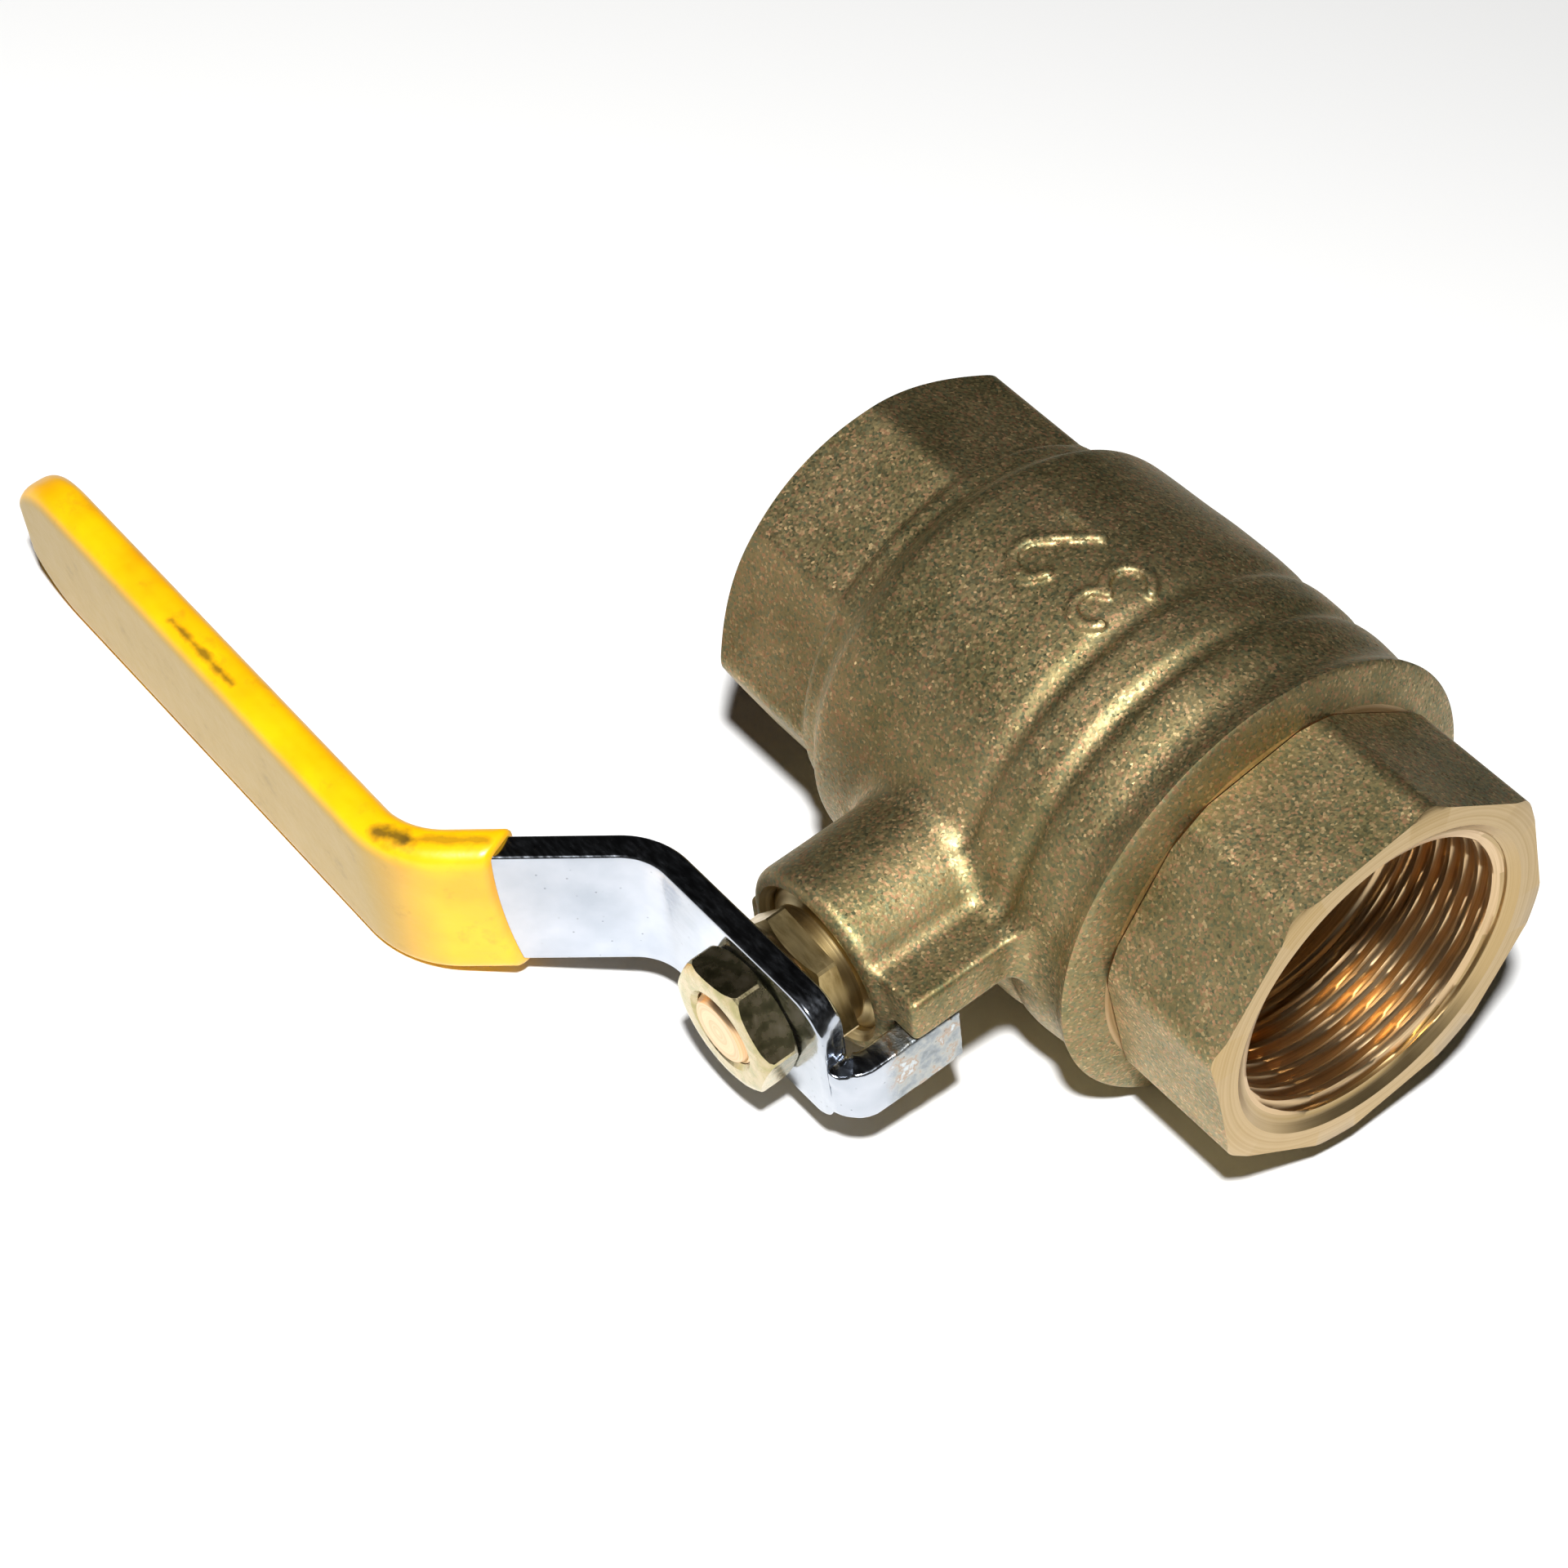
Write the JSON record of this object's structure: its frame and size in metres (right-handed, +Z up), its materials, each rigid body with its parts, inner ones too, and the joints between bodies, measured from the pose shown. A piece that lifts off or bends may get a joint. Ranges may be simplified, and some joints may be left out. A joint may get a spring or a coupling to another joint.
{
  "type": "gas valve",
  "caption": "Full-bore brass ball valve for gas with threaded octagon ends, a gland-sealed stem and a cranked, vinyl-dipped steel lever.",
  "frame": {"origin": "centre of the ball, where the pipe axis and the stem axis cross", "axes": "+X along the pipe towards the end connector; +Z up with the valve lying on its barrel and its lever grip; the stem points out to -Y, 15 degrees below the horizontal"},
  "size_m": [0.1731, 0.1118, 0.0626],
  "materials": {
    "cast_brass": "forged and shot-blasted, satin grain",
    "turned_brass": "turned, bright",
    "chromed_ball": "polished hard chrome",
    "ptfe": "matt",
    "nitrile": "matt",
    "plated_steel": "bright zinc plated",
    "yellow_zinc": "yellow passivated zinc",
    "yellow_vinyl": "dipped soft vinyl, satin"
  },
  "bodies": {
    "valve_body": {"body": "cast_brass", "end_connector": "cast_brass", "gland_nut": "turned_brass", "seat_ring_far": "ptfe", "seat_ring_near": "ptfe", "stem_thrust_washer": "ptfe", "packing_ring_lower": "ptfe", "packing_ring_upper": "ptfe"},
    "handle": {"stem": "turned_brass", "stem_o_ring": "nitrile", "lever": "plated_steel", "lever_grip": "yellow_vinyl", "lever_nut": "yellow_zinc"},
    "ball": {"ball": "chromed_ball"}
  },
  "joints": [
    {"name": "lever_turn", "type": "hinge", "parent": "valve_body", "child": "handle", "pos_m": [0, 0, 0], "axis": [0, 0.9659, 0.2588], "range_deg": [0, 90]},
    {"name": "ball_turn", "type": "hinge", "parent": "valve_body", "child": "ball", "pos_m": [0, 0, 0], "axis": [0, 0.9659, 0.2588], "range_deg": [0, 90]}
  ],
  "couplings": [
    {"joint": "ball_turn", "follows": "lever_turn", "ratio": 1}
  ]
}
